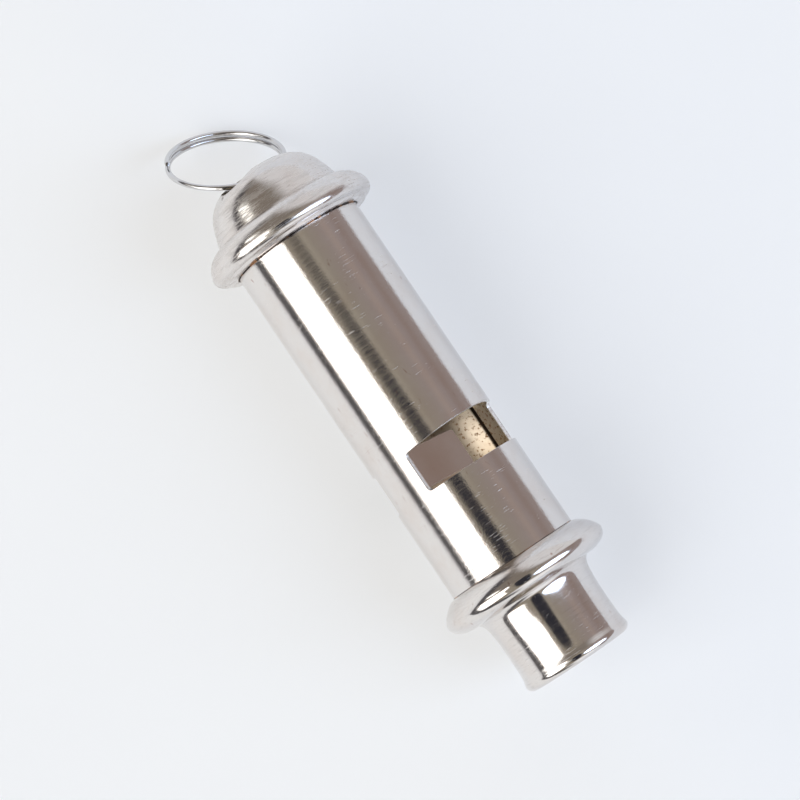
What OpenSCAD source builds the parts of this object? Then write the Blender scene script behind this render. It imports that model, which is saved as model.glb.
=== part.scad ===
// Tubular two-note whistle with a split ring, lying on its two beads.
// The barrel runs along X. The centre of the mouth opening is the origin,
// the cap points to -X and +Z is up from the surface that it lies on.

/* [Barrel] */
// Outer diameter of the barrel
barrel_od = 20; // [18:0.5:23]
// Wall of the barrel
barrel_wall = 0.6; // [0.5:0.05:0.8]
// Length of barrel that shows between the two beads
barrel_show = 54.75; // [48:0.05:62]

/* [Windows] */
// Distance from the mouth end to the near edge of the windows
window_from_mouth = 31.2; // [29:0.1:35]
// Length of each window along the barrel, at its deep corners
window_len = 6.3; // [5.2:0.1:8]
// Depth of each saw cut below the outside of the barrel
window_depth = 5.9; // [5:0.1:6.5]
// Extra length of each window at the outside of its upper lip
window_lip_lead = 0.5; // [0.2:0.05:0.8]
// Radius of the deep corners of each window
window_corner_r = 0.6; // [0.3:0.05:0.9]
// Turn of the upper window about the barrel, from straight up
window_turn = 40; // [35:1:45]

/* [Inside] */
// Thickness of the plate that splits the barrel into two chambers
plate_t = 0.6; // [0.5:0.05:0.8]
// Thickness of the disc that closes the top of the barrel
end_disc_t = 0.8; // [0.6:0.05:1.2]
// Thickness of the half disc that shortens one chamber
stop_t = 0.8; // [0.6:0.05:1.2]
// Distance between the end disc and the half disc
stop_drop = 5.2; // [3:0.1:8]
// Height of the windway where it opens on the window
windway_out_h = 1.5; // [1.2:0.05:1.9]
// Height of the windway where the breath enters it
windway_in_h = 3.8; // [3.2:0.1:4.2]

/* [Mouthpiece] */
// Length of the mouthpiece from its end to the barrel
mouthpiece_len = 17.05; // [16.5:0.05:19]
// How far the bead on the mouthpiece stands out from the barrel
mouth_bead_reach = 3.05; // [2.4:0.05:3.8]
// Distance from the end of the visible barrel to the widest place of that bead
mouth_bead_drop = 2.85; // [2.7:0.05:3.5]
// Radius of the neck at its waist
neck_r = 8.2; // [7.9:0.05:8.6]
// How far the lip at the mouth end stands out from the waist
lip_reach = 0.34; // [0.3:0.01:0.7]
// Wall of the neck at its waist
neck_wall = 1.4; // [1.1:0.05:1.8]
// Depth of the socket that holds the barrel
socket_depth = 4; // [3.2:0.1:4.6]

/* [Cap] */
// Sheet thickness of the cap
cap_wall = 0.6; // [0.5:0.05:0.7]
// How far the brim bead of the cap stands out from the barrel
brim_reach = 3.28; // [2.8:0.02:4.2]
// Height of the brim bead along the barrel
brim_h = 4.9; // [4.5:0.05:5.6]
// How far the dome's foot stands out from the barrel
dome_reach = 0.06; // [0.05:0.01:0.4]
// Height of the dome
dome_h = 7.1; // [6.6:0.05:8]

/* [Crown] */
// Radius of the two holes that the ring is threaded through
crown_hole_r = 3.2; // [3:0.05:3.3]
// Distance from the axis to the centre of each hole
crown_hole_offset = 4.1; // [4:0.05:4.3]
// Direction of the upper hole about the axis, from +Y toward +Z
crown_hole_turn = 124; // [120:1:128]

/* [Split ring] */
// Thickness of the ring's wire
wire_d = 0.8; // [0.6:0.05:0.9]
// Radius of the ring at the middle of its wire
ring_r = 8.5; // [8.2:0.02:9]
// Rise of the wire in one turn
ring_pitch = 0.95; // [0.93:0.01:1.1]
// Turns of wire in the ring
ring_turns = 1.5; // [1.5:0.05:1.6]

/* [Fit] */
// Radial clearance of pieces fitted into the barrel and of the barrel in its sockets
fit_gap = 0.03; // [0.02:0.01:0.06]

/* [Hidden] */

// Colours
nickel = [0.78, 0.79, 0.80];
plate_nickel = [0.62, 0.60, 0.57];
block_brass = [0.72, 0.62, 0.42];
ring_steel = [0.70, 0.71, 0.73];

// Faces of a turned piece, and points of a quarter curve
round_fn = 96;
curve_steps = 12;
corner_steps = 5;
flare_steps = 14;
// How far cutters run past what they cut
overrun = 2;

// Places along the barrel
barrel_r = barrel_od / 2;
barrel_in_r = barrel_r - barrel_wall;
inside_r = barrel_in_r - fit_gap;
socket_r = barrel_r + fit_gap;
lower_seam_x = -mouthpiece_len;
upper_seam_x = lower_seam_x - barrel_show;
dome_foot_x = upper_seam_x - brim_h;
apex_x = dome_foot_x - dome_h;
barrel_low_x = lower_seam_x + socket_depth;
barrel_top_x = dome_foot_x + cap_wall;
mouth_bead_r = barrel_r + mouth_bead_reach;
mouth_bead_x = mouthpiece_len - mouth_bead_drop;
lip_r = neck_r + lip_reach;
bore_r = neck_r - neck_wall;
brim_r = barrel_r + brim_reach;
dome_r = barrel_r + dome_reach;
window_low_x = -window_from_mouth;
window_top_x = window_low_x - window_len;

// Mouthpiece: the seam's rim, the bead's flanks, the neck and the lip
seam_rim = 0.15;
bead_flank_h = 2.25;
bead_foot_step = 1;
neck_taper = 0.42;
neck_fillet_power = 9.3;
waist_share = 0.3812;
waist_x = mouthpiece_len * waist_share;
lip_round = 1.1;
lip_swell_power = 4;
lip_roll_share = 0.24;
throat_from_bead_foot = 1.45;
throat_step = 0.2;
bead_upper_power = 1.41;
bead_lower_power = 2.25;

// Cap: the taper of the dome, the crease, the brim's widest place and its curled edge
dome_taper = 1.98;
crease_step = 0.13;
crease_w = 0.1;
brim_edge_r = 1.3;
brim_lip_step = 0.37;
brim_drop = brim_h - brim_edge_r - brim_lip_step;
crease_r = dome_r + crease_step;
brim_power = 1.78;
dome_power = 3.6;

// Split ring: where its wire passes under the crown's bridge, its slack there and its lean
thread_slack = 0.417;
thread_y = 0.107;
thread_z = 0.194;
thread_share = 0.4521;
ring_lean = 55.5;
ring_swing = 148.9;
ring_start = 9.6;
ring_sides = 12;
ring_steps_per_turn = 48;

// Unit power curve at angle t, from [0, 1] at 0 to [1, 0] at 90 degrees
function quarter(t, power) = [pow(sin(t), 2 / power), pow(cos(t), 2 / power)];

function reversed(list) = [for (i = [len(list) - 1:-1:0]) list[i]];

// Turned piece from [x, radius] points, about the X axis
module turned(points) {
    rotate([0, 90, 0])
        rotate_extrude($fn = round_fn)
            polygon([for (p = points) [p[1], p[0]]]);
}

// Straight round rod or hole along X, between two places
module rod_x(from_x, to_x, r) {
    translate([min(from_x, to_x), 0, 0])
        rotate([0, 90, 0])
            cylinder(h = abs(to_x - from_x), r = r, $fn = round_fn);
}

// Outline in X and Z, carried across the barrel in Y
module across(points, width) {
    rotate([90, 0, 0])
        translate([0, 0, -width / 2])
            linear_extrude(height = width)
                polygon(points);
}

// The chambers lie on either side of the plate, turned with the windows
module chamber_turn(side) {
    rotate([-window_turn + (side > 0 ? 0 : 180), 0, 0])
        children();
}

// Saw cut for one window, straight up in Z, its upper lip slanted
module window_cut() {
    deep = barrel_r - window_depth;
    top = barrel_r + overrun;
    lead = window_lip_lead * (top - deep) / window_depth;
    r = window_corner_r;
    low_corner = [for (i = [0:corner_steps]) let (a = 90 * i / corner_steps)
        [window_low_x - r + r * cos(a), deep + r - r * sin(a)]];
    top_corner = [for (i = [0:corner_steps]) let (a = 90 * i / corner_steps)
        [window_top_x + r - r * sin(a), deep + r - r * cos(a)]];
    across(concat([[window_low_x, top]], low_corner, top_corner, [[window_top_x - lead, top]]),
           2 * (barrel_r + overrun));
}

module barrel_tube() {
    color(nickel)
        difference() {
            rod_x(barrel_top_x, barrel_low_x, barrel_r);
            rod_x(barrel_top_x - overrun, barrel_low_x + overrun, barrel_in_r);
            for (side = [1, -1])
                chamber_turn(side)
                    window_cut();
        }
}

module partition_plate() {
    half_w = sqrt(inside_r * inside_r - plate_t * plate_t / 4);
    top_x = barrel_top_x + end_disc_t;
    color(plate_nickel)
        chamber_turn(1)
            translate([top_x, -half_w, -plate_t / 2])
                cube([barrel_low_x - top_x, 2 * half_w, plate_t]);
}

module end_disc() {
    color(block_brass)
        rod_x(barrel_top_x, barrel_top_x + end_disc_t, inside_r);
}

// Half disc in the upper chamber, on the plate
module chamber_stop() {
    stop_x = barrel_top_x + end_disc_t + stop_drop;
    color(block_brass)
        chamber_turn(1)
            intersection() {
                rod_x(stop_x, stop_x + stop_t, inside_r);
                translate([stop_x - overrun, -barrel_r, plate_t / 2])
                    cube([stop_t + 2 * overrun, barrel_od, barrel_r]);
            }
}

// Half-round block on the plate, its flat sloped to leave the windway
module voicing_block(side) {
    floor_z = plate_t / 2;
    color(block_brass)
        chamber_turn(side)
            intersection() {
                rod_x(window_low_x, barrel_low_x, inside_r);
                across([[window_low_x - overrun, floor_z],
                        [barrel_low_x + overrun, floor_z],
                        [barrel_low_x + overrun, barrel_in_r - windway_in_h],
                        [barrel_low_x, barrel_in_r - windway_in_h],
                        [window_low_x, barrel_in_r - windway_out_h],
                        [window_low_x - overrun, barrel_in_r - windway_out_h]],
                       barrel_od);
            }
}

// The last share of the swell rolls up quickly into the lip, from 0 to 1
function lip_roll(s) = let (t = max(0, 1 - (1 - s) / lip_roll_share)) t * t * (3 - 2 * t);

// Bead, filleted neck and rounded lip, turned from one piece
module mouthpiece() {
    rim_r = socket_r + seam_rim;
    foot_r = neck_r + bead_foot_step;
    foot_x = -mouth_bead_x + bead_flank_h;
    upper = [for (i = [0:curve_steps])
        let (q = quarter(90 - 90 * i / curve_steps, bead_upper_power))
        [-mouth_bead_x - q[0] * (mouthpiece_len - mouth_bead_x), rim_r + q[1] * (mouth_bead_r - rim_r)]];
    lower = [for (i = [1:curve_steps])
        let (q = quarter(90 * i / curve_steps, bead_lower_power))
        [-mouth_bead_x + q[0] * bead_flank_h, foot_r + q[1] * (mouth_bead_r - foot_r)]];
    flare = [for (i = [1:flare_steps]) let (s = pow(i / flare_steps, 2))
        [foot_x + s * (-waist_x - foot_x), neck_r + neck_taper * pow(1 - s, 2)
            + (bead_foot_step - neck_taper) * pow(1 - s, neck_fillet_power)]];
    swell = [for (i = [1:curve_steps]) let (s = i / curve_steps)
        [-waist_x + s * (waist_x - lip_round), neck_r + lip_reach
            * ((1 - lip_roll_share) * pow(s, lip_swell_power) + lip_roll_share * lip_roll(s))]];
    lip = [for (i = [1:corner_steps]) let (a = 90 * i / corner_steps)
        [-lip_round + lip_round * sin(a), lip_r - lip_round + lip_round * cos(a)]];
    color(nickel)
        turned(concat(upper, lower, flare, swell, lip,
                      [[0, bore_r], [foot_x + throat_from_bead_foot, bore_r],
                       [barrel_low_x, barrel_in_r - throat_step],
                       [barrel_low_x, socket_r], [lower_seam_x, socket_r]]));
}

// Quarter of a tapered dome from its apex to its foot, as [x, radius] points
function dome_points(r, h) = [for (i = [0:curve_steps])
    let (q = quarter(90 * i / curve_steps, dome_power))
    [dome_foot_x - h * q[1], (r - dome_taper) * q[0] + dome_taper * (1 - q[1])]];

// Brim from the crease to its widest place
function brim_points(len, foot_r, top_r) = [for (i = [1:curve_steps])
    let (q = quarter(90 - 90 * i / curve_steps, brim_power))
    [dome_foot_x + brim_drop - q[0] * len, foot_r + q[1] * (top_r - foot_r)]];

// Curled edge from the widest place to the underside
function edge_points(r) = [for (i = [1:corner_steps]) let (a = 90 * i / corner_steps)
    [dome_foot_x + brim_drop + r * sin(a), brim_r - brim_edge_r + r * cos(a)]];

// One pressed sheet: dome, hollow brim bead and the underside that hugs the barrel
module cap() {
    outer = concat(dome_points(dome_r, dome_h),
                   [[dome_foot_x + crease_w, crease_r]],
                   brim_points(brim_drop - crease_w, crease_r, brim_r),
                   edge_points(brim_edge_r),
                   [[upper_seam_x, brim_r - brim_edge_r - brim_lip_step], [upper_seam_x, socket_r]]);
    inner = concat([[upper_seam_x - cap_wall, socket_r],
                    [upper_seam_x - cap_wall, brim_r - brim_edge_r - cap_wall]],
                   reversed(edge_points(brim_edge_r - cap_wall)),
                   reversed(brim_points(brim_drop - cap_wall, socket_r, brim_r - cap_wall)),
                   [[barrel_top_x, socket_r], [barrel_top_x, dome_r - cap_wall]],
                   reversed(dome_points(dome_r - cap_wall, dome_h - cap_wall)));
    color(nickel)
        difference() {
            turned(concat(outer, inner));
            for (side = [0, 180])
                rotate([crown_hole_turn + side, 0, 0])
                    translate([0, crown_hole_offset, 0])
                        rod_x(apex_x - overrun, dome_foot_x - dome_h / 2, crown_hole_r);
        }
}

// Middle of the ring's wire, one and a half turns that rise along the ring's own axis
ring_steps = round(ring_turns * ring_steps_per_turn);
ring_rise = ring_pitch * ring_turns;
function ring_angle(i) = ring_start - 360 * ring_turns * i / ring_steps;
function ring_middle(i) = [-ring_r * sin(ring_angle(i)), ring_r * cos(ring_angle(i)),
                           ring_rise / 2 - ring_rise * i / ring_steps];
function ring_outward(i) = [-sin(ring_angle(i)), cos(ring_angle(i)), 0];

// Least gap between the ring's turns, measured on the middle of the wire
ring_gap = min([for (i = [0:ring_steps]) for (j = [0:ring_steps])
    if (j - i >= ring_steps_per_turn / 2) norm(ring_middle(i) - ring_middle(j))]) - wire_d;
echo(least_gap_between_turns_of_the_ring = ring_gap);

module split_ring() {
    points = [for (i = [0:ring_steps]) for (k = [0:ring_sides - 1])
        let (a = 360 * k / ring_sides)
        ring_middle(i) + wire_d / 2 * (cos(a) * ring_outward(i) + sin(a) * [0, 0, 1])];
    walls = [for (i = [0:ring_steps - 1]) for (k = [0:ring_sides - 1])
        let (a = i * ring_sides + k, b = i * ring_sides + (k + 1) % ring_sides)
        each [[a, b, b + ring_sides], [a, b + ring_sides, a + ring_sides]]];
    first_end = [for (k = [0:ring_sides - 1]) ring_sides - 1 - k];
    last_end = [for (k = [0:ring_sides - 1]) ring_steps * ring_sides + k];
    color(ring_steel)
        translate([apex_x + cap_wall + thread_slack + wire_d / 2, thread_y, thread_z])
            rotate([0, ring_lean, ring_swing])
                translate(-ring_middle(thread_share * ring_steps))
                    polyhedron(points = points, faces = concat(walls, [first_end, last_end]), convexity = 4);
}

barrel_tube();
partition_plate();
end_disc();
chamber_stop();
voicing_block(1);  // upper_voicing_block
voicing_block(-1);  // lower_voicing_block
mouthpiece();
cap();
split_ring();
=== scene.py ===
"""Looks of the whistle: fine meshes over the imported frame, worn nickel, a white table and two soft windows."""
import math

import bmesh
import bpy
import numpy as np
from mathutils import Matrix, Vector


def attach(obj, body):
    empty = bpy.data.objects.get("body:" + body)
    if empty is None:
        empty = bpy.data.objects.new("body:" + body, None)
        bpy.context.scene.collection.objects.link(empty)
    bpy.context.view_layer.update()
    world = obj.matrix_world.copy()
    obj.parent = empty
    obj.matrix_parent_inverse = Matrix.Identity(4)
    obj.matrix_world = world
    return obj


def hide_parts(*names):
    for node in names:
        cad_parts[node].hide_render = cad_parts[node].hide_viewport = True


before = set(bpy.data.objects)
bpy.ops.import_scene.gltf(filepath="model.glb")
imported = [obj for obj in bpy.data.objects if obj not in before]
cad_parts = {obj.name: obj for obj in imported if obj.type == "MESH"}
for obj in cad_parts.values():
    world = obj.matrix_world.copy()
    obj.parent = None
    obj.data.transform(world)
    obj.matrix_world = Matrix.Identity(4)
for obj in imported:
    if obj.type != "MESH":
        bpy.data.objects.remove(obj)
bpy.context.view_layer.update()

MM = 0.001

# Sizes in millimetres, as in the part's source
BARREL_R = 10.0
BARREL_WALL = 0.6
BARREL_IN_R = BARREL_R - BARREL_WALL
FIT = 0.03
INSIDE_R = BARREL_IN_R - FIT
SOCKET_R = BARREL_R + FIT
SEAM_RIM = 0.15
LOWER_SEAM = -17.05
UPPER_SEAM = -71.8
BARREL_LOW = -13.05
BARREL_TOP = -76.1
DOME_FOOT = -76.7
DOME_H = 7.1
APEX = DOME_FOOT - DOME_H
WINDOW_LOW = -31.2
WINDOW_TOP = -37.5
WINDOW_DEEP = 4.1
WINDOW_LEAD = 0.5
WINDOW_CORNER = 0.6
WINDOW_TURN = math.radians(40)
PLATE_T = 0.6
END_DISC_T = 0.8
BEAD_R = 13.05
BEAD_X = -14.2
BEAD_FLANK = 2.25
BEAD_FOOT_STEP = 1.0
BEAD_BACK_POWER = 1.41
BEAD_FLANK_POWER = 2.25
NECK_R = 8.2
NECK_TAPER = 0.42
NECK_FILLET_POWER = 9.3
WAIST_X = -6.5
LIP_R = 8.54
LIP_ROUND = 1.1
LIP_ROLL = 0.24
LIP_SWELL_POWER = 4
BORE_R = 6.8
THROAT_DEEP = 1.45
THROAT_STEP = 0.2
MOUTH_EDGE_ROUND = 0.15
THROAT_ROUND = 0.4
BRIM_R = 13.28
BRIM_DROP = 3.23
BRIM_X = DOME_FOOT + BRIM_DROP
BRIM_EDGE = 1.3
BRIM_LIP = 0.37
BRIM_POWER = 1.78
DOME_R = 10.06
DOME_TAPER = 1.98
DOME_POWER = 3.6
CREASE_STEP = 0.13
CREASE_R = DOME_R + CREASE_STEP
CREASE_W = 0.1
CAP_WALL = 0.6
HOLE_R = 3.2
HOLE_OFFSET = 4.1
HOLE_TURN = math.radians(124)
WIRE_R = 0.4
RING_R = 8.5
RING_PITCH = 0.95
RING_TURNS = 1.5
RING_START = math.radians(9.6)
RING_LEAN = math.radians(55.5)
RING_SWING = math.radians(148.9)
THREAD_SHARE = 0.4521
THREAD_SLACK = 0.417
THREAD_Y = 0.107
THREAD_Z = 0.194
THREAD = (APEX + CAP_WALL + THREAD_SLACK + WIRE_R, THREAD_Y, THREAD_Z)

# Sizes that only the looks have: slight swells up the dome's skirt, how far the cutters reach past the walls,
# the rounded edges, and the bevel on the wire's ends as a share of its radius
SWELL = 0.012
SWELL_START = 0.4
SWELL_PERIOD = 1.75
SWELL_RISE = 0.5
SWELL_END = 4.4
CUTTER_PAST = 3
HOLE_CUTTER_PAST = 2
BARREL_EDGE = 0.07
CAP_EDGE = 0.08
PLATE_EDGE = 0.06
WIRE_END = 0.8

# Steps of the meshes
AROUND = 288
HOLE_AROUND = 96
CORNER_STEPS = 8
BEAD_STEPS = 28
FILLET_STEPS = 32
LIP_STEPS = 24
LIP_ROUND_STEPS = 12
DOME_STEPS = 72
BRIM_EDGE_STEPS = 14
WIRE_STEPS = 420
WIRE_SIDES = 28


# ---------------------------------------------------------------- meshes
def quarter(t, power):
    """A point on a quarter of a superellipse."""
    return math.sin(t) ** (2 / power), max(math.cos(t), 0.0) ** (2 / power)


def sweep(count):
    """Angles from 0 to 90 degrees, in even steps."""
    return [math.pi / 2 * i / count for i in range(count + 1)]


def rounded(points, corners, steps=6, most=0.45):
    """The closed outline, with the corners in {index: radius} rounded off over at most this share of a side."""
    out = []
    n = len(points)
    for i, p in enumerate(points):
        radius = corners.get(i)
        if not radius:
            out.append(tuple(p))
            continue
        p = np.array(p, float)
        before = np.array(points[i - 1], float) - p
        after = np.array(points[(i + 1) % n], float) - p
        reach = min(np.linalg.norm(before), np.linalg.norm(after)) * most
        before /= np.linalg.norm(before)
        after /= np.linalg.norm(after)
        half = math.acos(max(-1, min(1, float(before @ after)))) / 2
        cut = min(radius / math.tan(half), reach)
        a, b = p + before * cut, p + after * cut
        for k in range(steps + 1):
            s = k / steps
            out.append(tuple((1 - s) ** 2 * a + 2 * s * (1 - s) * p + s * s * b))
    return out


def smooth(obj, degrees=35):
    """Smooth shading, except over the sharper edges."""
    obj.data.shade_smooth()
    obj.data.set_sharp_from_angle(angle=math.radians(degrees))


def linked(name, data):
    """A new object with this data, in the scene."""
    obj = bpy.data.objects.new(name, data)
    bpy.context.scene.collection.objects.link(obj)
    return obj


def new_object(name, verts, faces):
    """An object from points in millimetres, with its face normals outward."""
    mesh = bpy.data.meshes.new(name)
    mesh.from_pydata([tuple(c * MM for c in v) for v in verts], [], faces)
    mesh.update()
    obj = linked(name, mesh)
    work = bmesh.new()
    work.from_mesh(mesh)
    bmesh.ops.remove_doubles(work, verts=work.verts, dist=1e-8)
    bmesh.ops.recalc_face_normals(work, faces=work.faces)
    work.to_mesh(mesh)
    work.free()
    return obj


def turned(name, outline, around=AROUND):
    """Closed [x, radius] outline turned about the X axis."""
    n = len(outline)
    verts = []
    for k in range(around):
        a = 2 * math.pi * k / around
        verts += [(x, r * math.cos(a), r * math.sin(a)) for x, r in outline]
    faces = []
    for k in range(around):
        k2 = (k + 1) % around
        for i in range(n):
            j = (i + 1) % n
            faces.append((k * n + i, k * n + j, k2 * n + j, k2 * n + i))
    return new_object(name, verts, faces)


def prism(name, outline, low, high):
    """Closed [x, z] outline carried along Y, from low to high."""
    n = len(outline)
    verts = [(x, low, z) for x, z in outline] + [(x, high, z) for x, z in outline]
    faces = [tuple(range(n)), tuple(range(2 * n - 1, n - 1, -1))]
    faces += [(i, (i + 1) % n, n + (i + 1) % n, n + i) for i in range(n)]
    return new_object(name, verts, faces)


def turn_x(obj, angle):
    """Turns the mesh about the whistle's axis."""
    obj.data.transform(Matrix.Rotation(angle, 4, "X"))


def applied(obj):
    """Applies the modifiers of obj to its mesh."""
    bpy.context.view_layer.update()
    graph = bpy.context.evaluated_depsgraph_get()
    mesh = bpy.data.meshes.new_from_object(obj.evaluated_get(graph))
    old = obj.data
    obj.modifiers.clear()
    obj.data = mesh
    bpy.data.meshes.remove(old)


def cut(obj, cutters):
    """Cuts the cutters out of obj, and removes them."""
    for c in cutters:
        m = obj.modifiers.new("cut", "BOOLEAN")
        m.operation = "DIFFERENCE"
        m.solver = "EXACT"
        m.object = c
    applied(obj)
    for c in cutters:
        bpy.data.objects.remove(c)


def softened(obj, width, degrees=40):
    """Rounds the sharp edges."""
    m = obj.modifiers.new("edges", "BEVEL")
    m.width = width * MM
    m.segments = 2
    m.limit_method = "ANGLE"
    m.angle_limit = math.radians(degrees)
    m.use_clamp_overlap = True
    m.harden_normals = False
    applied(obj)


# Kinds of face, and what tells them apart: mm off the wall, cosine to it, and mm2 of a flat face
BETWEEN, ROUND, FLAT = range(3)
ON_WALL = 0.003
ALONG_WALL = 0.95
FLAT_AREA = 0.3


def round_normals(obj, radii):
    """True normals after cuts and bevels: radial on the round walls, straight on the larger flat faces."""
    mesh = obj.data
    verts = np.array([v.co[:] for v in mesh.vertices]) / MM
    reach = np.hypot(verts[:, 1], verts[:, 2])
    out = np.zeros_like(verts)
    out[:, 1:] = verts[:, 1:] / np.maximum(reach, 1e-6)[:, None]
    sign = np.zeros(len(verts))
    for radius, side in radii:
        sign[np.abs(reach - radius) < ON_WALL] = side
    own = np.zeros_like(verts)
    kind = []
    for face in mesh.polygons:
        ids = list(face.vertices)
        normal = np.array(face.normal[:])
        if np.all(sign[ids] != 0) and np.all(np.sum(out[ids] * normal, 1) * sign[ids] > ALONG_WALL):
            kind.append(ROUND)
            for i in ids:
                own[i] = out[i] * sign[i]
        else:
            kind.append(FLAT if face.area / MM ** 2 > FLAT_AREA else BETWEEN)
    for face, k in zip(mesh.polygons, kind):
        if k == FLAT:
            for i in face.vertices:
                if not own[i].any():
                    own[i] = face.normal[:]
    result = []
    for face, k in zip(mesh.polygons, kind):
        for i in face.vertices:
            if k == ROUND:
                result.append(tuple(out[i] * sign[i]))
            elif k == FLAT:
                result.append(tuple(face.normal))
            else:
                result.append(tuple(own[i]) if own[i].any() else tuple(mesh.vertices[i].normal))
    mesh.normals_split_custom_set(result)


# Barrel: thin tube with the two saw-cut windows
def window_outline():
    top = BARREL_R + CUTTER_PAST
    lead = WINDOW_LEAD * (top - WINDOW_DEEP) / (BARREL_R - WINDOW_DEEP)
    r = WINDOW_CORNER
    low = [(WINDOW_LOW - r + r * math.cos(a), WINDOW_DEEP + r - r * math.sin(a)) for a in sweep(CORNER_STEPS)]
    high = [(WINDOW_TOP + r - r * math.sin(a), WINDOW_DEEP + r - r * math.cos(a)) for a in sweep(CORNER_STEPS)]
    return [(WINDOW_LOW, top)] + low + high + [(WINDOW_TOP - lead, top)]


barrel = turned("barrel", [(BARREL_TOP, BARREL_R), (BARREL_LOW, BARREL_R),
                           (BARREL_LOW, BARREL_IN_R), (BARREL_TOP, BARREL_IN_R)])
cutters = []
for k in range(2):
    c = prism("window_cutter", window_outline(), -BARREL_R - CUTTER_PAST, BARREL_R + CUTTER_PAST)
    turn_x(c, -WINDOW_TURN + math.pi * k)
    cutters.append(c)
cut(barrel, cutters)
softened(barrel, BARREL_EDGE)
barrel.data.shade_smooth()
round_normals(barrel, ((BARREL_R, 1), (BARREL_IN_R, -1)))


# Mouthpiece: bead, neck and lip around the bore
def mouthpiece_outline():
    rim = SOCKET_R + SEAM_RIM
    foot_r = NECK_R + BEAD_FOOT_STEP
    foot_x = BEAD_X + BEAD_FLANK
    pts = []
    for a in reversed(sweep(BEAD_STEPS)):
        q = quarter(a, BEAD_BACK_POWER)
        pts.append((BEAD_X - q[0] * (BEAD_X - LOWER_SEAM), rim + q[1] * (BEAD_R - rim)))
    for a in sweep(BEAD_STEPS)[1:]:
        q = quarter(a, BEAD_FLANK_POWER)
        pts.append((BEAD_X + q[0] * BEAD_FLANK, foot_r + q[1] * (BEAD_R - foot_r)))
    for i in range(1, FILLET_STEPS + 1):
        s = (i / FILLET_STEPS) ** 2
        fillet = NECK_TAPER * (1 - s) ** 2 + (1.0 - NECK_TAPER) * (1 - s) ** NECK_FILLET_POWER
        pts.append((foot_x + s * (WAIST_X - foot_x), NECK_R + fillet))
    for i in range(1, LIP_STEPS + 1):
        s = i / LIP_STEPS
        t = max(0.0, 1 - (1 - s) / LIP_ROLL)
        rise = (1 - LIP_ROLL) * s ** LIP_SWELL_POWER + LIP_ROLL * t * t * (3 - 2 * t)
        pts.append((WAIST_X + s * (-LIP_ROUND - WAIST_X), NECK_R + (LIP_R - NECK_R) * rise))
    for a in sweep(LIP_ROUND_STEPS)[1:]:
        pts.append((-LIP_ROUND + LIP_ROUND * math.sin(a), LIP_R - LIP_ROUND + LIP_ROUND * math.cos(a)))
    n = len(pts)
    pts += [(0, BORE_R), (foot_x + THROAT_DEEP, BORE_R), (BARREL_LOW, BARREL_IN_R - THROAT_STEP),
            (BARREL_LOW, SOCKET_R), (LOWER_SEAM, SOCKET_R)]
    return rounded(pts, {n: MOUTH_EDGE_ROUND, n + 1: THROAT_ROUND})


mouthpiece = turned("mouthpiece", mouthpiece_outline())
smooth(mouthpiece)


# Cap: dome, brim bead, two holes under a bridge
def dome(r, h):
    out = []
    for a in sweep(DOME_STEPS):
        q = quarter(a, DOME_POWER)
        x = h * q[1]
        fade = min(1.0, x / SWELL_RISE) * max(0.0, 1 - x / SWELL_END)
        swell = SWELL * math.sin(2 * math.pi * (x - SWELL_START) / SWELL_PERIOD) * fade
        out.append((DOME_FOOT - x, (r - DOME_TAPER) * q[0] + DOME_TAPER * (1 - q[1]) + swell))
    return out


def brim(length, foot_r, top_r):
    out = []
    for a in reversed(sweep(BEAD_STEPS)[:-1]):
        q = quarter(a, BRIM_POWER)
        out.append((BRIM_X - q[0] * length, foot_r + q[1] * (top_r - foot_r)))
    return out


def brim_edge(r):
    around = sweep(BRIM_EDGE_STEPS)[1:]
    return [(BRIM_X + r * math.sin(a), BRIM_R - BRIM_EDGE + r * math.cos(a)) for a in around]


def cap_outline():
    outer = dome(DOME_R, DOME_H) + [(DOME_FOOT + CREASE_W, CREASE_R)]
    outer += brim(BRIM_DROP - CREASE_W, CREASE_R, BRIM_R) + brim_edge(BRIM_EDGE)
    outer += [(UPPER_SEAM, BRIM_R - BRIM_EDGE - BRIM_LIP), (UPPER_SEAM, SOCKET_R)]
    inner = [(UPPER_SEAM - CAP_WALL, SOCKET_R), (UPPER_SEAM - CAP_WALL, BRIM_R - BRIM_EDGE - CAP_WALL)]
    inner += brim_edge(BRIM_EDGE - CAP_WALL)[::-1]
    inner += brim(BRIM_DROP - CAP_WALL, SOCKET_R, BRIM_R - CAP_WALL)[::-1]
    inner += [(BARREL_TOP, SOCKET_R), (BARREL_TOP, DOME_R - CAP_WALL)]
    inner += dome(DOME_R - CAP_WALL, DOME_H - CAP_WALL)[::-1]
    return outer + inner


cap = turned("cap", cap_outline())
cutters = []
for k in range(2):
    a = HOLE_TURN + math.pi * k
    y, z = HOLE_OFFSET * math.cos(a), HOLE_OFFSET * math.sin(a)
    high, low = APEX - HOLE_CUTTER_PAST, DOME_FOOT - DOME_H / 2
    c = turned("hole_cutter", [(high, 0), (high, HOLE_R), (low, HOLE_R), (low, 0)], HOLE_AROUND)
    c.data.transform(Matrix.Translation((0, y * MM, z * MM)))
    cutters.append(c)
cut(cap, cutters)
softened(cap, CAP_EDGE, degrees=50)
smooth(cap)


# Split ring: one and a half turns of round wire
def ring_middle(share):
    """The wire's middle at a share of its length, and its angle there."""
    a = RING_START - 2 * math.pi * RING_TURNS * share
    rise = RING_PITCH * RING_TURNS
    return Vector((-RING_R * math.sin(a), RING_R * math.cos(a), rise / 2 - rise * share)), a


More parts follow.
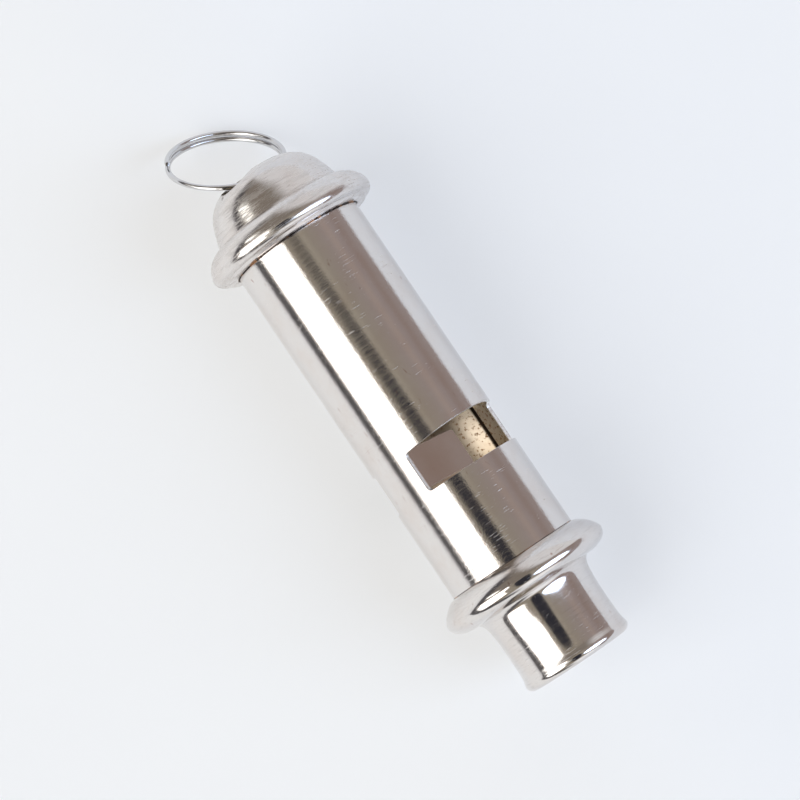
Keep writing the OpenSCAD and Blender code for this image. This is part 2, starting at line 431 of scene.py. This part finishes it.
def ring_mesh():
    turn = Matrix.Rotation(RING_SWING, 4, "Z") @ Matrix.Rotation(RING_LEAN, 4, "Y")
    place = Matrix.Translation(THREAD) @ turn @ Matrix.Translation(-ring_middle(THREAD_SHARE)[0])
    verts, faces = [], []
    # the wire's ends are cut square with a small bevel
    rows = [(0.0, 0.0), (0.0, WIRE_END)] + [(i / WIRE_STEPS, 1.0) for i in range(1, WIRE_STEPS)]
    rows += [(1.0, WIRE_END), (1.0, 0.0)]
    for share, size in rows:
        p, a = ring_middle(share)
        out = Vector((-math.sin(a), math.cos(a), 0))
        for k in range(WIRE_SIDES):
            t = 2 * math.pi * k / WIRE_SIDES
            v = p + WIRE_R * size * (math.cos(t) * out + math.sin(t) * Vector((0, 0, 1)))
            verts.append(tuple(place @ v))
    for i in range(len(rows) - 1):
        here, there = i * WIRE_SIDES, (i + 1) * WIRE_SIDES
        for k in range(WIRE_SIDES):
            k2 = (k + 1) % WIRE_SIDES
            faces.append((here + k, here + k2, there + k2, there + k))
    return new_object("ring_of_wire", verts, faces)


ring = ring_mesh()
smooth(ring, degrees=50)

# Plate between the chambers
plate_half = math.sqrt(INSIDE_R ** 2 - PLATE_T ** 2 / 4)
plate_top = BARREL_TOP + END_DISC_T
plate = prism("plate", [(plate_top, -PLATE_T / 2), (BARREL_LOW, -PLATE_T / 2),
                        (BARREL_LOW, PLATE_T / 2), (plate_top, PLATE_T / 2)], -plate_half, plate_half)
turn_x(plate, -WINDOW_TURN)
softened(plate, PLATE_EDGE)
smooth(plate)


# ---------------------------------------------------------------- materials
class Nodes:
    """Short calls that build a node tree."""

    def __init__(self, tree):
        self.tree = tree
        tree.nodes.clear()

    def node(self, kind, **values):
        n = self.tree.nodes.new(kind)
        for key, value in values.items():
            setattr(n, key, value)
        return n

    def put(self, socket, value):
        if isinstance(value, bpy.types.NodeSocket):
            self.tree.links.new(value, socket)
        elif value is not None:
            socket.default_value = value

    def filled(self, kind, values, **settings):
        """A node of this kind, with the values on its first inputs."""
        n = self.node(kind, **settings)
        for socket, value in zip(n.inputs, values):
            self.put(socket, value)
        return n

    def math(self, op, a, b=None):
        return self.filled("ShaderNodeMath", (a, b), operation=op).outputs[0]

    def plus(self, a, b):
        return self.math("ADD", a, b)

    def less(self, a, b):
        return self.math("SUBTRACT", a, b)

    def times(self, a, b):
        return self.math("MULTIPLY", a, b)

    def apart(self, a, b):
        return self.math("ABSOLUTE", self.less(a, b))

    def ramp(self, value, low, high, to_low=0.0, to_high=1.0):
        """A smooth step from to_low to to_high, while the value goes from low to high."""
        values = (value, low, high, to_low, to_high)
        return self.filled("ShaderNodeMapRange", values, interpolation_type="SMOOTHSTEP").outputs[0]

    def fall(self, value, low, high):
        """A smooth step from 1 down to 0."""
        return self.ramp(value, low, high, 1.0, 0.0)

    def mix(self, share, a, b, kind="RGBA"):
        n = self.node("ShaderNodeMix", data_type=kind)
        first, result = (6, 2) if kind == "RGBA" else (2, 0)
        for socket, value in zip((n.inputs[0], n.inputs[first], n.inputs[first + 1]), (share, a, b)):
            self.put(socket, value)
        return n.outputs[result]

    def parts(self, vector):
        return tuple(self.filled("ShaderNodeSeparateXYZ", (vector,)).outputs)


class Material(Nodes):
    """A material with one Principled shader, looked up by the place on the object."""

    def __init__(self, name):
        self.data = bpy.data.materials.new(name)
        self.data.use_nodes = True
        super().__init__(self.data.node_tree)
        self.out = self.node("ShaderNodeOutputMaterial").inputs[0]
        self.shader = self.node("ShaderNodeBsdfPrincipled")
        self.put(self.out, self.shader.outputs[0])
        self.place = self.node("ShaderNodeTexCoord").outputs["Object"]

    def set(self, **values):
        """Fills the shader's inputs, named with _ for each space."""
        for name, value in values.items():
            self.put(self.shader.inputs[name.replace("_", " ")], value)

    def noise(self, pattern):
        """Noise in one of the patterns below."""
        scale, detail, rough = pattern
        vector = self.place
        if isinstance(scale, tuple):
            mapping = self.node("ShaderNodeMapping")
            self.put(mapping.inputs["Vector"], vector)
            mapping.inputs["Scale"].default_value = scale
            vector, scale = mapping.outputs[0], 1.0
        n = self.node("ShaderNodeTexNoise")
        for name, value in (("Vector", vector), ("Scale", scale), ("Detail", detail), ("Roughness", rough)):
            self.put(n.inputs[name], value)
        return n.outputs["Fac"]

    def bump(self, height, distance):
        n = self.node("ShaderNodeBump")
        n.inputs["Distance"].default_value = distance
        self.put(n.inputs["Height"], height)
        return n.outputs[0]


def rgb(r, g, b):
    return (r, g, b, 1.0)


# Patterns of noise: scale in 1/m (one, or one for each axis, small around the whistle), detail, roughness
FINE_LINES = (8000, 4500, 4500), 2.0, 0.6
COARSE_LINES = (1500, 260, 260), 2.0, 0.5
WORN_LINES = (6500, 1100, 1100), 3.0, 0.7
CLOUD = 210, 3.0, 0.6
STREAKS = (5200, 420, 420), 4.0, 0.7
BROAD_STREAKS = (900, 110, 110), 2.0, 0.5
SCRATCHES = (8500, 420, 420), 1.0, 0.5
SCRATCH_PATCHES = 260, 2.0, 0.5
STAINS = (450, 1500, 1500), 2.0, 0.6
STAIN_PATCHES = 120, 1.0, 0.5
SEAM_EDGE = 1500, 4.0, 0.75
SEAM_SPECKS = 520, 2.0, 0.5
AGE_SPOTS = 2300, 3.0, 0.65
SAW_SPECKS = 4200, 2.0, 0.6
BRASS_SPOTS = 1600, 3.0, 0.6
BRASS_CLOUD = 300, 3.0, 0.6
BRASS_GRAIN = 1200, 3.0, 0.6
TABLE_CLOUD = 60, 3.0, 0.5

# Colours of the metal
NICKEL = rgb(0.74, 0.71, 0.69)
WIRE_TONE = rgb(0.66, 0.66, 0.67)
PLATE_TONE = rgb(0.69, 0.63, 0.58)
CLOUD_FADE = (0.97, 0.94, 0.92)
SATIN_TONE = rgb(0.50, 0.46, 0.43)
STAIN_TONE = rgb(0.42, 0.26, 0.22)
# painted shade: the dark of the gaps at the seams, between specks of real brass
SEAM_SHADE = rgb(0.05, 0.035, 0.03)
SEAM_BRASS = rgb(0.45, 0.24, 0.12)
BARE_BRASS = rgb(1.0, 0.95, 0.83)
AGED_BRASS = rgb(0.46, 0.27, 0.12)
# painted shade and grime: the dark corner where the plate meets the inner wall
CORNER_SHADE_AND_GRIME = rgb(0.03, 0.02, 0.015)
SAWN_TONE = rgb(0.98, 0.97, 0.95)
BLOCK_TONES = rgb(0.80, 0.68, 0.45), rgb(0.70, 0.58, 0.38)
BLOCK_SPOTS = rgb(0.35, 0.22, 0.1)

# Where one look passes into the next: distances from the axis, and for the painted corner shade and grime from
# the plate's middle
SEAM_DEPTH = (SOCKET_R + 0.12) * MM, (SOCKET_R + 0.3) * MM
INSIDE_ENDS = 9.44 * MM, 9.5 * MM
SAWN_FROM = 9.47 * MM, 9.52 * MM
SAWN_TO = 9.9 * MM, 9.95 * MM
PLATE_SHADE_AND_GRIME = 0.45 * MM, 0.7 * MM
MICRON = 1e-6


def metal(m, tint, rough, normal):
    m.set(Base_Color=tint, Metallic=1.0, Roughness=rough, Normal=normal)
    return m.data


def worn_nickel(name, color, rough, haze, relief, seams=(), brushed=0.0, marked=0.0, brass_inside=False):
    """Nickel plate, hazy where it is worn in fine lines around the whistle.

    seams are dark lines, each with its x, width and strength. brushed is the roughness of satin streaks,
    marked the strength of stains, which come with scratches. relief is the depth of the lines in microns.
    """
    m = Material(name)
    x, y, z = m.parts(m.place)
    radius = m.math("SQRT", m.plus(m.times(y, y), m.times(z, z)))
    cloud = m.noise(CLOUD)
    dull = m.mix(m.ramp(m.noise(WORN_LINES), 0.55, 0.75), rough, haze, "FLOAT")
    dull = m.plus(dull, m.ramp(cloud, 0.45, 0.75, 0.0, 0.05))
    tint = m.mix(m.ramp(cloud, 0.35, 0.75), color, rgb(*(c * fade for c, fade in zip(color, CLOUD_FADE))))

    if brushed:
        # satin left by the polishing wheel, in streaks around the dome and the flanks
        streaks = m.noise(STREAKS)
        dull = m.plus(dull, m.ramp(streaks, 0.4, 0.62, 0.0, brushed))
        dull = m.plus(dull, m.ramp(m.noise(BROAD_STREAKS), 0.45, 0.65, 0.0, brushed * 0.6))
        tint = m.mix(m.ramp(streaks, 0.5, 0.72, 0.0, 0.4), tint, SATIN_TONE)

    if marked:
        # short scratches in patches, and a few reddish stains
        scratch = m.times(m.ramp(m.noise(SCRATCHES), 0.68, 0.72), m.ramp(m.noise(SCRATCH_PATCHES), 0.5, 0.58))
        dull = m.plus(dull, m.times(scratch, 0.45))
        stain = m.ramp(m.noise(STAINS), 0.66, 0.76, 0.0, marked)
        tint = m.mix(m.times(stain, m.ramp(m.noise(STAIN_PATCHES), 0.5, 0.6)), tint, STAIN_TONE)

    for seam, width, strength in seams:
        # ragged dark line with specks of real brass, only where the sheets meet at the barrel's surface: painted
        # shade of the gap between the parts
        ragged = m.times(m.less(m.noise(SEAM_EDGE), 0.5), -1.3 * width * MM)
        near = m.plus(m.apart(x, seam * MM), ragged)
        near = m.ramp(near, width * 0.35 * MM, width * MM, strength, 0.0)
        near = m.times(near, m.fall(radius, *SEAM_DEPTH))
        tint = m.mix(near, tint, m.mix(m.ramp(m.noise(SEAM_SPECKS), 0.5, 0.62), SEAM_SHADE, SEAM_BRASS))
        dull = m.plus(dull, m.times(near, 0.3))

    if brass_inside:
        # the inside of the barrel is bare brass, spotted by age, with a dark line where the plate meets the
        # wall: painted shade of the corner, and grime
        inside = m.fall(radius, *INSIDE_ENDS)
        spots = m.ramp(m.noise(AGE_SPOTS), 0.55, 0.66)
        off_plate = m.plus(m.times(y, math.sin(WINDOW_TURN)), m.times(z, math.cos(WINDOW_TURN)))
        shade_and_grime = m.fall(m.math("ABSOLUTE", off_plate), *PLATE_SHADE_AND_GRIME)
        bare = m.mix(shade_and_grime, m.mix(spots, BARE_BRASS, AGED_BRASS), CORNER_SHADE_AND_GRIME)
        tint = m.mix(inside, tint, bare)
        dull = m.mix(inside, dull, m.plus(m.times(spots, 0.2), 0.3), "FLOAT")
        # the saw left the cut faces rough and pale
        sawn = m.times(m.ramp(radius, *SAWN_FROM), m.fall(radius, *SAWN_TO))
        tint = m.mix(m.times(sawn, m.ramp(m.noise(SAW_SPECKS), 0.35, 0.5)), tint, SAWN_TONE)
        dull = m.mix(sawn, dull, 0.5, "FLOAT")

    lines = m.plus(m.noise(FINE_LINES), m.times(m.noise(COARSE_LINES), 1.2))
    return metal(m, tint, dull, m.bump(lines, relief * MICRON))


def dull_brass(name):
    m = Material(name)
    cloud = m.noise(BRASS_CLOUD)
    tint = m.mix(m.ramp(m.noise(BRASS_SPOTS), 0.55, 0.68), m.mix(cloud, *BLOCK_TONES), BLOCK_SPOTS)
    return metal(m, tint, m.ramp(cloud, 0.3, 0.7, 0.22, 0.4), m.bump(m.noise(BRASS_GRAIN), 10 * MICRON))


nickel_barrel = worn_nickel("nickel_barrel", NICKEL, 0.06, 0.26, 12, marked=0.7, brass_inside=True,
                            seams=((LOWER_SEAM, 0.16, 0.9), (UPPER_SEAM, 0.25, 1.0)))
nickel_mouth = worn_nickel("nickel_mouth", NICKEL, 0.07, 0.26, 3, marked=0.6, brushed=0.06,
                           seams=((LOWER_SEAM, 0.08, 0.8),))
nickel_cap = worn_nickel("nickel_cap", NICKEL, 0.09, 0.3, 4, brushed=0.2, seams=((UPPER_SEAM, 0.10, 0.9),))
nickel_wire = worn_nickel("nickel_wire", WIRE_TONE, 0.12, 0.3, 2)
nickel_plate = worn_nickel("nickel_plate", PLATE_TONE, 0.05, 0.12, 1)
brass = dull_brass("dull_brass")


def dress(obj, material, body, slot, *nodes):
    obj.data.materials.clear()
    obj.data.materials.append(material)
    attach(obj, body)
    if nodes:
        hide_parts(*nodes)


dress(barrel, nickel_barrel, "whistle", "nickel", "barrel_tube")
dress(mouthpiece, nickel_mouth, "whistle", "nickel_turned", "mouthpiece")
dress(cap, nickel_cap, "whistle", "nickel_pressed", "cap")
dress(ring, nickel_wire, "ring", "ring_wire", "split_ring")
dress(plate, nickel_plate, "whistle", "inner_plate", "partition_plate")
for name in ("end_disc", "chamber_stop", "upper_voicing_block", "lower_voicing_block"):
    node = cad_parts[name]
    node.data.materials.clear()
    node.data.materials.append(brass)


# ---------------------------------------------------------------- table
TABLE_REACH = 12000
TABLE_SIDE = 240
# the table's colour on the side of the first window, and a darker, bluer one past the whistle: painted shade of
# its broad shadow
TABLE_WINDOW_SIDE = rgb(0.87, 0.88, 0.89), rgb(0.89, 0.90, 0.91)
TABLE_SHADE_SIDE = rgb(0.81, 0.85, 0.92), rgb(0.83, 0.87, 0.94)
TABLE_WHITE = rgb(0.985, 0.995, 1.0)
OWN_WHITE = 0.44
# painted light and shade in what the metal mirrors: more of the table's own white far out on the first window's
# side, less near the whistle and past it
MIRRORED_MORE = 0.54, 0.08
MIRRORED_LESS = -0.2


def table_top():
    """A plane that touches both beads: the whistle rests on them, and the cap's is the larger."""
    slope = (BRIM_R - BEAD_R) / (BEAD_X - BRIM_X)
    corners = [(-TABLE_REACH, -TABLE_REACH), (TABLE_REACH, -TABLE_REACH),
               (TABLE_REACH, TABLE_SIDE), (-TABLE_REACH, TABLE_SIDE)]
    verts = [(x * MM, y * MM, (-BRIM_R + slope * (x - BRIM_X)) * MM) for x, y in corners]
    mesh = bpy.data.meshes.new("table")
    mesh.from_pydata(verts, [], [(0, 1, 2, 3)])
    obj = linked("table", mesh)
    m = Material("table_white")
    cloud = m.noise(TABLE_CLOUD)
    side = m.parts(m.place)[1]
    # painted shade: past the whistle, away from the first window, the table's colour turns darker and bluer
    shade_side = m.ramp(side, -0.03, 0.03)
    m.set(Base_Color=m.mix(shade_side, m.mix(cloud, *TABLE_WINDOW_SIDE), m.mix(cloud, *TABLE_SHADE_SIDE)),
          Roughness=0.75, Specular_IOR_Level=0.2)
    # a share of the white is the table's own, and the rest takes the light and the shadow; the metal mirrors a
    # larger share from the side of the first window, away from the shadow, and a smaller one near the whistle
    # and from the other side: painted light and shade in the reflection
    white = m.filled("ShaderNodeEmission", (TABLE_WHITE, 1.0))
    path = m.node("ShaderNodeLightPath").outputs
    seen = m.math("MAXIMUM", path["Is Camera Ray"], path["Is Glossy Ray"])
    more = m.plus(m.ramp(side, -0.045, -0.014, *MIRRORED_MORE), m.times(shade_side, MIRRORED_LESS))
    share = m.plus(m.times(seen, OWN_WHITE), m.times(path["Is Glossy Ray"], more))
    both = m.filled("ShaderNodeMixShader", (share, m.shader.outputs[0], white.outputs[0]))
    m.put(m.out, both.outputs[0])
    obj.data.materials.append(m.data)


table_top()


# ---------------------------------------------------------------- world: a dim room with two soft windows
# Places are angles in degrees. "along" leans toward the mouth end, and "tilt" from straight up toward the side
# of the first window. A shape has its middle (along, tilt), its half sizes and the power of its superellipse.
WALLS = rgb(0.345, 0.29, 0.28), rgb(0.33, 0.295, 0.24)
WALL_BANDS = ((-10, 9, rgb(0.39, 0.35, 0.29)),
              (-52, 11, rgb(0.39, 0.32, 0.29)),
              (-74, 12, rgb(0.31, 0.245, 0.225)))
CAP_END_WALLS = rgb(0.25, 0.22, 0.19), rgb(0.80, 0.80, 0.82)
MOUTH_END_WALL = rgb(1.1, 1.12, 1.15)
LOW_EDGE = rgb(0.11, 0.105, 0.11)
LOW_STRIP = rgb(0.86, 0.86, 0.88)
OVERHEAD = rgb(0.03, 0.03, 0.04)
OVERHEAD_SHAPE = 22, 3.4, 29.4, 12.4, 3.6
FIRST_WINDOW = rgb(2.9, 2.85, 2.75)
FIRST_WIDE = -1, 49, 38, 35, 3
FIRST_NARROW = -8, 50, 14, 35, 2
SMALL_PANE = rgb(2.2, 2.2, 2.1)
SMALL_PANE_SHAPE = -40, 54, 4.5, 13, 2
SECOND_WINDOW = rgb(2.7, 3.25, 4.1)
SECOND_SHAPE = 31, -43, 16.5, 30, 2


def room():
    world = bpy.data.worlds.new("room")
    bpy.context.scene.world = world
    world.use_nodes = True
    n = Nodes(world.node_tree)
    back = n.node("ShaderNodeBackground")
    n.put(n.node("ShaderNodeOutputWorld").inputs[0], back.outputs[0])
    generated = n.node("ShaderNodeTexCoord").outputs["Generated"]
    way = n.filled("ShaderNodeVectorMath", (generated,), operation="NORMALIZE").outputs["Vector"]
    x, y, z = n.parts(way)
    degrees = 180 / math.pi
    along = n.times(n.math("ARCSINE", x), degrees)
    tilt = n.times(n.math("ARCTAN2", n.times(y, -1.0), z), degrees)

    def reach(middle_along, middle_tilt, half_along, half_tilt, power):
        """1 on the shape's edge and less inside."""
        u = n.math("ABSOLUTE", n.math("DIVIDE", n.less(along, middle_along), half_along))
        v = n.math("ABSOLUTE", n.math("DIVIDE", n.less(tilt, middle_tilt), half_tilt))
        return n.math("POWER", n.plus(n.math("POWER", u, power), n.math("POWER", v, power)), 1 / power)

    # walls and ceiling, in broad soft bands
    color = n.mix(n.ramp(tilt, -60, 0), *WALLS)
    for middle, half, tone in WALL_BANDS:
        color = n.mix(n.fall(n.apart(tilt, middle), 0.0, half), color, tone)
    # toward the cap the room is pale on one side and brown on the other
    border = n.plus(n.times(n.plus(along, 34.0), -0.75), -31.0)
    far = n.mix(n.fall(n.less(tilt, border), -16, 16), *CAP_END_WALLS)
    color = n.mix(n.fall(along, -24, -12), color, far)
    # bright low wall past the mouth end
    color = n.mix(n.ramp(along, 55, 65), color, MOUTH_END_WALL)
    # dark edge low on the side of the first window, and under it a pale strip toward the cap
    first_side = n.fall(y, -0.3, 0.0)
    color = n.mix(n.times(n.fall(z, 0.28, 0.34), first_side), color, LOW_EDGE)
    strip = n.times(n.times(n.fall(z, 0.05, 0.10), first_side), n.fall(along, 0.5, 2.0))
    color = n.mix(strip, color, LOW_STRIP)
    # camera and its holder overhead
    color = n.mix(n.fall(reach(*OVERHEAD_SHAPE), 0.93, 1.07), color, OVERHEAD)
    # the first window: it narrows to a point toward the cap
    first = n.mix(n.ramp(along, -10, -6), reach(*FIRST_NARROW), reach(*FIRST_WIDE), "FLOAT")
    shown = n.fall(first, 0.98, 1.02)
    shown = n.times(shown, n.ramp(n.less(tilt, n.ramp(along, 2, 12, 23.0, 32.0)), -0.5, 0.8))
    # furniture stands before its low edge
    above = n.less(tilt, n.ramp(along, 0.0, 3.0, 69.3, 75.5))
    blocked = n.times(n.ramp(above, -1.8, 1.8), n.ramp(along, -17, -13))
    color = n.mix(n.times(shown, n.less(1.0, blocked)), color, FIRST_WINDOW)
    # a small pane past it, toward the cap
    color = n.mix(n.fall(reach(*SMALL_PANE_SHAPE), 0.9, 1.1), color, SMALL_PANE)
    # the second window
    color = n.mix(n.fall(reach(*SECOND_SHAPE), 0.95, 1.05), color, SECOND_WINDOW)
    n.put(back.inputs["Color"], color)
    back.inputs["Strength"].default_value = 1.0


room()


# ---------------------------------------------------------------- camera, fitted to the outline in the photo
PHOTO_PX = 800
FOCAL_PX = 2933.7
SENSOR = 36
CAMERA_PLACE = -13.331, -0.569, 416.0
CAMERA_RIGHT = 0.5577, 0.8290, -0.0422
CAMERA_FORWARD = -0.0755, 0.0, -0.99715


def camera():
    cam = bpy.data.cameras.new("camera")
    obj = linked("camera", cam)
    cam.sensor_width = SENSOR
    cam.sensor_fit = "HORIZONTAL"
    cam.lens = SENSOR * FOCAL_PX / PHOTO_PX
    cam.clip_start = 0.01
    cam.clip_end = 100
    right = Vector(CAMERA_RIGHT).normalized()
    forward = Vector(CAMERA_FORWARD).normalized()
    up = right.cross(forward).normalized()
    forward = up.cross(right)
    rows = [(right[i], up[i], -forward[i], CAMERA_PLACE[i] * MM) for i in range(3)]
    obj.matrix_world = Matrix(rows + [(0, 0, 0, 1)])
    bpy.context.scene.camera = obj


camera()
bpy.context.scene.view_settings.view_transform = "Standard"
